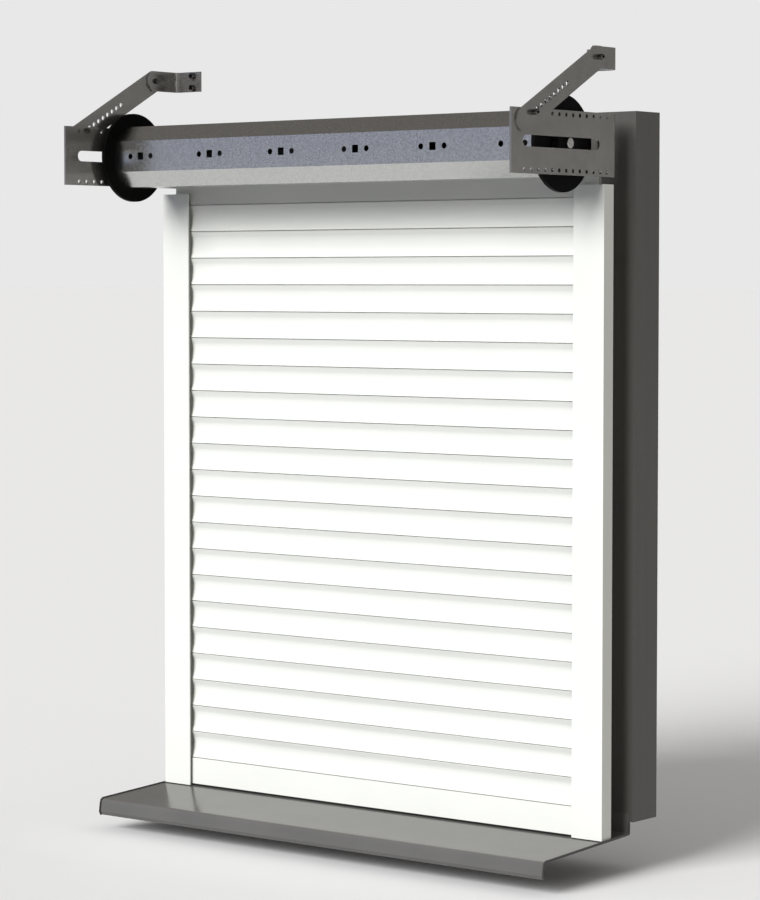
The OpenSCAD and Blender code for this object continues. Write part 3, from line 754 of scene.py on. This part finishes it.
def rows_tree():
    """Repeats one slat downwards"""
    graph, given, keys = node_tree("Curtain rows", {"Rows": "Int", "Pitch": "Float", "Finish": "Material"})
    step = graph.add("ShaderNodeCombineXYZ", {"Z": graph.times(given["Pitch"], -1.0)})
    line = graph.add("GeometryNodeMeshLine", {"Count": given["Rows"], "Offset": step.outputs[0]})
    rows = graph.add("GeometryNodeInstanceOnPoints", {
        "Points": line.outputs[0], "Instance": given["Geometry"]})
    end_tree(graph, rows.outputs[0], given["Finish"])
    return graph.tree, keys


class SHUTTER_OT_curtain(bpy.types.Operator):
    """Make the slats, the end slat, its seal and the straps"""

    bl_idname = "shutter.curtain"
    bl_label = "Curtain"

    def execute(self, context):
        white = finish(white_coat)
        tree, keys = rows_tree()
        slats = grow(add_object("curtain_slats", one_slat()), tree, keys, {
            "Rows": len(SLAT_NODES), "Pitch": SLAT_PITCH, "Finish": white})
        seat(slats, SLAT_NODES)
        eased("end_slat", "curtain_end_slat", white, sizes().slat_edge)
        eased("bottom_seal", "curtain_seal", finish(seal_rubber), sizes().seal_edge)
        eased("curtain_straps", "curtain_hanging_straps", finish(zinc_sheet),
              sizes().strap_edge)
        return {"FINISHED"}


# Guide rails
# The pile keeps off the strip's ends; bristles lean a little and are turned anyhow
PILE_SCALE = (0.86, 1.0, 0.998)
BRISTLE_LEAN = (0.1, 3.0, 0.1)
BRISTLE_SEED = 11


def brush_tree():
    """Strips of bristles on a backing, one for each point"""
    graph, given, keys = node_tree("Brush seals", {
        "Length": "Float", "Width": "Float", "Pile": "Float", "Backing": "Float", "Thickness": "Float",
        "Rows": "Int", "Count": "Int", "Seed": "Int", "Finish": "Material"})
    grid = graph.add("GeometryNodeMeshGrid", {
        "Size X": given["Width"], "Size Y": given["Length"],
        "Vertices X": given["Rows"], "Vertices Y": given["Count"]})
    upright = graph.add("GeometryNodeTransform", {
        "Geometry": grid.outputs[0], "Rotation": (math.pi / 2, 0.0, 0.0), "Scale": PILE_SCALE})
    fibre = graph.add("GeometryNodeMeshCylinder", {
        "Vertices": 3, "Radius": graph.times(given["Thickness"], 0.5), "Depth": given["Pile"]})
    shift = graph.add("ShaderNodeCombineXYZ", {"Y": graph.times(given["Pile"], 0.5)})
    laid = graph.add("GeometryNodeTransform", {
        "Geometry": fibre.outputs[0], "Translation": shift.outputs[0],
        "Rotation": (math.pi / 2, 0.0, 0.0)})
    tilt = graph.add("FunctionNodeRandomValue", {
        "Min": scaled(BRISTLE_LEAN, -1), "Max": BRISTLE_LEAN, "Seed": given["Seed"]},
        data_type="FLOAT_VECTOR")
    pile = graph.add("GeometryNodeInstanceOnPoints", {
        "Points": upright.outputs[0], "Instance": laid.outputs[0],
        "Rotation": next(s for s in tilt.outputs if s.enabled)})
    plate_size = graph.add("ShaderNodeCombineXYZ", {
        "X": given["Width"], "Y": given["Backing"], "Z": given["Length"]})
    plate = graph.add("GeometryNodeMeshCube", {"Size": plate_size.outputs[0]})
    lift = graph.add("ShaderNodeCombineXYZ", {"Y": graph.times(given["Backing"], 0.5)})
    backing = graph.add("GeometryNodeTransform", {
        "Geometry": plate.outputs[0], "Translation": lift.outputs[0]})
    strip = graph.add("GeometryNodeJoinGeometry")
    graph.tree.links.new(pile.outputs[0], strip.inputs[0])
    graph.tree.links.new(backing.outputs[0], strip.inputs[0])
    turn = graph.add("GeometryNodeInputNamedAttribute", {"Name": "turn"}, data_type="FLOAT_VECTOR")
    strips = graph.add("GeometryNodeInstanceOnPoints", {
        "Points": given["Geometry"], "Instance": strip.outputs[0], "Rotation": turn.outputs[0]})
    end_tree(graph, strips.outputs[0], given["Finish"])
    return graph.tree, keys


class SHUTTER_OT_guide_rails(bpy.types.Operator):
    """Make the guide rails, their brush seals and the stand-offs behind them"""

    bl_idname = "shutter.guide_rails"
    bl_label = "Guide rails"

    def execute(self, context):
        size = sizes()
        for side in ("left", "right"):
            node = "guide_rail_" + side
            eased(node, "rail_profile_" + side, finish(white_coat), size.rail_edge)
        eased("rail_standoffs", "rail_standoff_tubes", finish(bolt_steel),
              size.standoff_edge)
        self.brushes()
        return {"FINISHED"}

    def brushes(self):
        """Each strip stands on its rail's inner wall; the back ones are turned round"""
        size = sizes()
        strips = islands("rail_brushes")
        middle = (BRUSH_LOW.y + BRUSH_HIGH.y) / 2
        places = []
        for low, high in strips:
            ahead = high.y < middle
            centre = (low + high) / 2
            wall = low.y if ahead else high.y
            places.append(((centre.x, wall, centre.z), (0.0, 0.0, 0.0 if ahead else math.pi)))
        low, high = strips[0]
        run = high.z - low.z
        piece = add_object("rail_brush_seals", points_with_turns("rail_brush_seals", places))
        tree, keys = brush_tree()
        grow(piece, tree, keys, {
            "Length": run, "Width": high.x - low.x, "Pile": high.y - low.y, "Backing": size.brush_backing,
            "Thickness": size.bristle_thickness, "Rows": size.bristle_rows,
            "Count": int(run / size.bristle_step), "Seed": BRISTLE_SEED, "Finish": finish(brush_fibre)})
        seat(piece, ["rail_brushes"])


class SHUTTER_OT_window_frame(bpy.types.Operator):
    """Make the four members of the window frame"""

    bl_idname = "shutter.window_frame"
    bl_label = "Window frame"

    def execute(self, context):
        for member in ("head", "base", "jamb_left", "jamb_right"):
            eased("frame_" + member, "window_" + member, finish(frame_coat),
                  sizes().mitre_edge, sizes().profile_edge)
        return {"FINISHED"}


# Sill
def rounded(points, radii, steps=6):
    """A line of points with its inner corners replaced by arcs"""
    line = [Vector(points[0])]
    for before, here, after, radius in zip(points, points[1:], points[2:], radii):
        here = Vector(here)
        back = (Vector(before) - here).normalized()
        on = (Vector(after) - here).normalized()
        half = back.angle(on) / 2
        centre = here + (back + on).normalized() * (radius / math.sin(half))
        start = here + back * (radius / math.tan(half)) - centre
        end = here + on * (radius / math.tan(half)) - centre
        sweep = start.angle_signed(end)
        for i in range(steps + 1):
            arm = start.copy()
            arm.rotate(Matrix.Rotation(-sweep * i / steps, 2))
            line.append(centre + arm)
    line.append(Vector(points[-1]))
    return line


def sheet_sides(line, near, far):
    """Pairs of points at two distances to the left of a line"""
    pairs = []
    for i, point in enumerate(line):
        along = (line[min(i + 1, len(line) - 1)] - line[max(i - 1, 0)]).normalized()
        left = Vector((-along.y, along.x))
        pairs.append((tuple(point + left * near), tuple(point + left * far)))
    return pairs


def sill_line(start):
    """The sill's upper surface from a height on its upstand to its drip edge, in YZ"""
    size = sizes()
    back = SILL_HIGH.y - size.sill_sheet
    bend = SILL_LOW.y + size.sill_lean
    foot = SILL_HIGH.z - size.sill_upstand
    front = foot - size.sill_fall
    points = [(back, start), (back, foot), (bend, front), (bend - size.sill_lean, front - size.sill_nose),
              (bend, SILL_LOW.z)]
    return rounded(points, [size.sill_heel, size.sill_bend, size.sill_hem])


class SHUTTER_OT_sill(bpy.types.Operator):
    """Make the folded sill and the trims on its ends"""

    bl_idname = "shutter.sill"
    bl_label = "Sill"

    def execute(self, context):
        size = sizes()
        sides = sheet_sides(sill_line(SILL_HIGH.z), 0.0, size.sill_sheet)
        self.piece("sill_sheet", "sill", "sill_grey", finish(sill_coat),
                   [extruded(sides, SILL_LOW.x, SILL_HIGH.x)])
        sides = sheet_sides(sill_line(TRIM_HIGH.z), -size.trim_lip, size.sill_sheet)
        ends = [(SILL_HIGH.x, TRIM_HIGH.x), (-TRIM_HIGH.x, SILL_LOW.x)]
        self.piece("sill_end_trims", "sill_trims", "sill_edge", finish(trim_coat),
                   [extruded(sides, *end) for end in ends])
        return {"FINISHED"}

    def piece(self, name, node, slot, material, walls):
        parts = []
        for wall in walls:
            part = add_object(name, mesh_of(name, wall))
            part.data.materials.append(material)
            parts.append(part)
        made = joined(name, parts)
        bevel = made.modifiers.new("Eased edges", "BEVEL")
        bevel.limit_method = "ANGLE"
        bevel.angle_limit = FOLD_ANGLE
        bevel.width = sizes().cut_edge
        bevel.segments = 2
        bevel.harden_normals = True
        seat(made, [node])


# Shaft
# A face whose normal points this much at the tube's axis is an inner one
INNER_FACE = -0.5


def moulded(pieces):
    """Black plastic pieces, each from its solid"""
    for node, name in pieces.items():
        eased(node, name, finish(black_plastic), sizes().profile_edge)


class SHUTTER_OT_winding_shaft(bpy.types.Operator):
    """Make the eight-sided tube, its end discs and what turns inside it"""

    bl_idname = "shutter.winding_shaft"
    bl_label = "Winding shaft"

    def execute(self, context):
        size = sizes()
        tube = eased("shaft_tube", "eight_sided_tube", finish(zinc_sheet), size.cut_edge,
                     size.tube_edge)
        self.darken_inside(tube.data)
        for side in ("left", "right"):
            eased("disc_" + side, "end_disc_" + side, finish(black_plastic),
                  size.disc_edge)
        moulded({"end_capsule": "shaft_end_capsule", "crown_ring": "motor_crown_ring",
                 "drive_wheel": "motor_drive_wheel"})
        paint_solid("axle_bearing", finish(bolt_steel))
        return {"FINISHED"}

    def darken_inside(self, mesh):
        """Gives the faces that look at the tube's axis a painted shade: a dark finish that stands in for
        the shade inside the tube
        """
        mesh.materials.append(finish(tube_inside))
        axis = (TUBE_LOW + TUBE_HIGH) / 2
        for face in mesh.polygons:
            outwards = face.center - axis
            outwards.x = 0.0
            if face.normal.dot(outwards.normalized()) < INNER_FACE:
                face.material_index = 1


class SHUTTER_OT_motor_and_axle(bpy.types.Operator):
    """Make the motor, the axle pin and the blocks that carry them"""

    bl_idname = "shutter.motor_and_axle"
    bl_label = "Motor and axle"

    def execute(self, context):
        eased("axle_pin", "axle_pin_turned", finish(bolt_steel), sizes().pin_edge)
        moulded({"axle_block": "axle_bearer", "motor_bracket": "motor_bearer",
                 "motor_head": "motor_head_cap"})
        paint_solid("motor_body", finish(motor_paint))
        return {"FINISHED"}


class SHUTTER_OT_brackets(bpy.types.Operator):
    """Make the bracket plates, struts and feet"""

    bl_idname = "shutter.brackets"
    bl_label = "Brackets"

    def execute(self, context):
        steel = finish(bracket_steel)
        names = {"bracket_plate": "slotted_plate", "strut": "strut_bar", "foot": "wall_foot"}
        for side in ("left", "right"):
            for node, name in names.items():
                eased(f"{node}_{side}", f"{name}_{side}", steel, sizes().sheet_edge)
        return {"FINISHED"}


# Fasteners
FACE_FRONT = (math.pi / 2, 0.0, 0.0)
FACE_RIGHT = (0.0, math.pi / 2, 0.0)
FACE_LEFT = (0.0, -math.pi / 2, 0.0)
THREAD_PITCH = 1.0 * MM
THREAD_DEPTH = 0.35 * MM
THREADED_SHARE = 0.8

# Head to shank of cap and flat heads, socket to head radius, and shares of a head or nut that are cut
CAP_RATIO = 1.6
FLAT_RATIO = 2
WIDE_SOCKET = 1.0
SMALL_SOCKET = 0.8
RIM_EASE = 0.12
TOP_EASE = 0.3
SOCKET_FLOOR = 0.45
NUT_CORNER = 0.53


def screw(head_r, head_h, shank_r, shank, socket, threaded=0.0):
    """A screw along +Z with its seat at zero: shank below, and a head with a hexagon socket above"""
    ease = min(RIM_EASE * head_r, TOP_EASE * head_h)
    rings = [(-shank, shank_r - THREAD_DEPTH), (-shank + 2 * THREAD_DEPTH, shank_r)]
    for i in range(1, int(threaded / THREAD_PITCH)):
        height = -shank + i * THREAD_PITCH + THREAD_DEPTH
        rings.append((height, shank_r))
        rings.append((height + THREAD_PITCH / 2, shank_r - THREAD_DEPTH))
    rings += [(0.0, shank_r), (0.0, head_r - ease / 2), (ease / 2, head_r), (head_h - ease, head_r),
              (head_h - TOP_EASE * ease, head_r - TOP_EASE * ease), (head_h, head_r - ease),
              (head_h, hexagon(socket)), (SOCKET_FLOOR * head_h, hexagon(socket))]
    return mesh_of("screw", turned(rings))


def nut(flats, height, bore):
    """A hexagon nut along +Z with chamfered corners and an open bore"""
    rim = hexagon(flats)
    ease = RIM_EASE * flats

    def chamfered(angle):
        return min(rim(angle), NUT_CORNER * flats)
    bm = turned([(0.0, bore), (0.0, chamfered), (ease / 2, rim), (height - ease / 2, rim),
                 (height, chamfered), (height, bore), (0.0, bore)])
    caps = [face for face in bm.faces if len(face.verts) > 4]
    bmesh.ops.delete(bm, geom=caps, context="FACES_ONLY")
    bmesh.ops.remove_doubles(bm, verts=bm.verts, dist=SAME_POINT)
    bmesh.ops.recalc_face_normals(bm, faces=bm.faces)
    return mesh_of("nut", bm)


def forwards(box, height):
    """Place and turn of a screw along Y whose head faces the viewer"""
    low, high = box
    middle = (low + high) / 2
    return (middle.x, low.y + height, middle.z), FACE_FRONT


def along_x(box, height, turn):
    """Place and turn of a screw or nut along X that rises by its height towards one side"""
    low, high = box
    middle = (low + high) / 2
    seat_x = high.x - height if turn == FACE_RIGHT else low.x + height
    return (seat_x, middle.y, middle.z), turn


def outwards(box, height):
    return along_x(box, height, FACE_RIGHT if box[0].x > 0 else FACE_LEFT)


def inwards(box, height):
    return along_x(box, height, FACE_LEFT if box[0].x > 0 else FACE_RIGHT)


def screws(boxes, place, height, ratio=FLAT_RATIO, socket=SMALL_SOCKET, shank_r=None, threaded=0.0):
    """Mesh and places of like screws; the first solid's box gives their head and their length"""
    low, high = boxes[0]
    head = (high.z - low.z) / 2
    across = high - low
    shank = (across.y if place == forwards else across.x) - height
    mesh = screw(head, height, shank_r or head / ratio, shank, socket * head, threaded * shank)
    return mesh, [place(box, height) for box in boxes]


class SHUTTER_OT_fasteners(bpy.types.Operator):
    """Make the bolts, nuts and screws, each group of like ones from one part"""

    bl_idname = "shutter.fasteners"
    bl_label = "Fasteners"

    def execute(self, context):
        flat = sizes().flat_height
        self.bracket_bolts()
        self.frame_screws()
        self.keep("block_flat_screws", "block_screws", "bolt_dark", finish(dark_bolts),
                  [screws(islands("block_screws"), inwards, flat)])
        self.keep("disc_flat_screws", "disc_screws", "zinc_steel", finish(bolt_steel),
                  [screws(islands("disc_screws"), outwards, flat)])
        return {"FINISHED"}

    def keep(self, name, node, slot, steel, groups):
        parts = [set_copies(f"{name}_{i}", mesh, places, steel) for i, (mesh, places) in enumerate(groups)]
        seat(joined(name, parts), [node])

    def bracket_bolts(self):
        """Wall bolts are long in depth, strut bolts long across, and the rest are nuts"""
        size = sizes()
        bolts, nuts, studs = [], [], []
        for low, high in islands("bracket_bolts"):
            across = high - low
            if across.y > 2 * across.x:
                studs.append((low, high))
            elif across.x > 1.2 * across.z:
                bolts.append((low, high))
            else:
                nuts.append((low, high))
        across = nuts[0][1] - nuts[0][0]
        mesh = nut(min(across.y, across.z), across.x, size.nut_bore)
        self.keep("strut_and_wall_bolts", "bracket_bolts", "bolt_dark", finish(dark_bolts), [
            screws(bolts, outwards, size.cap_height, CAP_RATIO, WIDE_SOCKET),
            (mesh, [outwards(box, across.x) for box in nuts]),
            screws(studs, forwards, size.wall_cap_height, CAP_RATIO, WIDE_SOCKET, size.stud_radius,
                   THREADED_SHARE)])

    def frame_screws(self):
        size = sizes()
        found = islands("frame_screws")
        rail_ones = [box for box in found if box[1].y - box[0].y > size.rail_screw]
        sill_ones = [box for box in found if box not in rail_ones]
        self.keep("sill_and_rail_screws", "frame_screws", "zinc_steel", finish(bolt_steel), [
            screws(sill_ones, forwards, size.sill_cap_height, CAP_RATIO),
            screws(rail_ones, forwards, size.flat_height)])


# Stage
# The floor carries a painted shade in front of the shutter, darker near it: the painted shade fades in
# depth, and in distance
FADE_IN_DEPTH = (-0.5, -0.15)
FADE_AWAY = (0.8, 2.2)

# The room from the horizon up, and its patches of colour: towards where, and from which share to which
ROOM = (tone(121, 120, 118), tone(119, 115, 111), 0.0, 0.75)
GLOWS = (
    (tone(141, 147, 169), (-0.62, -0.78, 0.0), 0.6, 0.95),
    (tone(250, 249, 244), (0.95, 0.0, -0.3), 0.66, 0.95),
    (tone(156, 156, 154), (0.625, 0.78, 0.0), 0.55, 0.95),
)
SENSOR_WIDTH = 36.0
FAR_CLIP = 1000.0


class SHUTTER_OT_stage(bpy.types.Operator):
    """Make the floor, the lights, the plain background and the camera"""

    bl_idname = "shutter.stage"
    bl_label = "Stage"

    def execute(self, context):
        stage = context.scene.shutter_stage
        self.floor(stage)
        self.lights(stage)
        self.world(stage)
        self.camera(stage)
        context.scene.view_settings.view_transform = "Standard"
        return {"FINISHED"}

    def floor(self, stage):
        half = stage.floor_half
        z = CAD_BOX[0].z - stage.floor_gap
        bm = bmesh.new()
        bm.faces.new([bm.verts.new((x, y, z)) for x, y in
                      ((-half, -half), (half, -half), (half, half), (-half, half))])
        floor = add_object("floor", mesh_of("floor", bm))
        material, graph, coords = new_finish("pale_floor", Roughness=1.0, Specular_IOR_Level=0.0)
        depth = graph.add("ShaderNodeSeparateXYZ", {"Vector": coords}).outputs["Y"]
        away = graph.add("ShaderNodeVectorMath", {"Vector": coords}, operation="LENGTH").outputs["Value"]
        share = graph.add("ShaderNodeMath", {
            0: graph.spread(depth, 0.0, 1.0, *FADE_IN_DEPTH),
            1: graph.spread(away, 0.0, 1.0, *FADE_AWAY)}, operation="MAXIMUM")
        # near is the painted shade in front of the shutter; far is the floor's own even colour
        near, far = tuple(stage.floor_front), tuple(stage.floor_colour)
        shade = graph.shades(share.outputs[0], near, far, 0.0, 1.0)
        shader = material.node_tree.nodes["Principled BSDF"]
        graph.tree.links.new(shade, shader.inputs["Base Color"])
        floor.data.materials.append(material)
        floor.visible_diffuse = False

    def sun(self, name, strength, size, height, side):
        light = bpy.data.lights.new(name, "SUN")
        light.energy = strength
        light.angle = size
        lamp = add_object(name, light)
        towards = Vector((-math.sin(side) * math.cos(height), -math.cos(side) * math.cos(height),
                          math.sin(height)))
        lamp.rotation_mode = "QUATERNION"
        lamp.rotation_quaternion = towards.to_track_quat("Z", "Y")
        return lamp

    def lights(self, stage):
        key = self.sun("key_light", stage.key_strength, stage.key_size, stage.key_height, stage.key_side)
        top = self.sun("top_light", stage.top_strength, stage.top_size, stage.top_height, 0.0)
        for lamp in (key, top):
            lamp.visible_glossy = False

    def world(self, stage):
        """A dim room, a cool glow at the front left and fills at the right; the camera sees a plain tone"""
        world = bpy.data.worlds.new("studio")
        bpy.context.scene.world = world
        world.use_nodes = True
        graph = Graph(world.node_tree)
        graph.tree.nodes.clear()
        way = graph.add("ShaderNodeTexCoord").outputs["Generated"]
        up = graph.add("ShaderNodeSeparateXYZ", {"Vector": way}).outputs["Z"]
        shade = graph.shades(up, *ROOM)
        for patch in GLOWS:
            shade = self.glow(graph, way, shade, *patch)
        lit = graph.add("ShaderNodeBackground", {"Color": shade})
        plain = graph.add("ShaderNodeBackground", {"Color": (*stage.backdrop, 1.0)})
        eye = graph.add("ShaderNodeLightPath").outputs["Is Camera Ray"]
        both = graph.add("ShaderNodeMixShader", {0: eye, 1: lit.outputs[0], 2: plain.outputs[0]})
        graph.add("ShaderNodeOutputWorld", {"Surface": both.outputs[0]})

    def glow(self, graph, way, shade, colour, towards, start, end):
        """Mixes a soft patch of colour around one direction into a shade"""
        aim = graph.add("ShaderNodeVectorMath", {0: way, 1: towards}, operation="DOT_PRODUCT")
        share = graph.spread(aim.outputs["Value"], 0.0, 1.0, start, end)
        mixed = graph.add("ShaderNodeMix", {"Factor": share, "A": shade, "B": (*colour, 1.0)},
                          data_type="RGBA")
        return next(s for s in mixed.outputs if s.enabled)

    def camera(self, stage):
        lens = bpy.data.cameras.new("camera")
        lens.lens = stage.camera_lens
        lens.sensor_width = SENSOR_WIDTH
        lens.clip_end = FAR_CLIP
        camera = add_object("camera", lens)
        camera.location = (stage.camera_x, stage.camera_y, stage.camera_z)
        flat = math.cos(stage.camera_pitch)
        ahead = Vector((-math.sin(stage.camera_yaw) * flat, math.cos(stage.camera_yaw) * flat,
                        -math.sin(stage.camera_pitch)))
        camera.rotation_mode = "QUATERNION"
        camera.rotation_quaternion = ahead.to_track_quat("-Z", "Y")
        bpy.context.scene.camera = camera


OPERATORS = (
    SHUTTER_OT_stage,
    SHUTTER_OT_window_frame,
    SHUTTER_OT_sill,
    SHUTTER_OT_guide_rails,
    SHUTTER_OT_curtain,
    SHUTTER_OT_winding_shaft,
    SHUTTER_OT_motor_and_axle,
    SHUTTER_OT_brackets,
    SHUTTER_OT_fasteners,
)


class SHUTTER_PT_sidebar(bpy.types.Panel):
    """Lists the shutter's pieces"""

    bl_idname = "SHUTTER_PT_sidebar"
    bl_label = "Roller shutter"
    bl_space_type = "VIEW_3D"
    bl_region_type = "UI"
    bl_category = "Shutter"

    def draw(self, context):
        for operator in OPERATORS:
            self.layout.operator(operator.bl_idname)


GROUPS = {
    "shutter_sizes": ShutterSizes,
    "shutter_colours": ShutterColours,
    "shutter_stage": ShutterStage,
}


def register():
    for cls in (*GROUPS.values(), *OPERATORS, SHUTTER_PT_sidebar):
        bpy.utils.register_class(cls)
    for name, group in GROUPS.items():
        setattr(bpy.types.Scene, name, PointerProperty(type=group))


def unregister():
    for name in GROUPS:
        delattr(bpy.types.Scene, name)
    for cls in reversed((*GROUPS.values(), *OPERATORS, SHUTTER_PT_sidebar)):
        bpy.utils.unregister_class(cls)


def main():
    register()
    for operator in OPERATORS:
        group, action = operator.bl_idname.split(".")
        getattr(getattr(bpy.ops, group), action)()


if __name__ == "__main__":
    main()
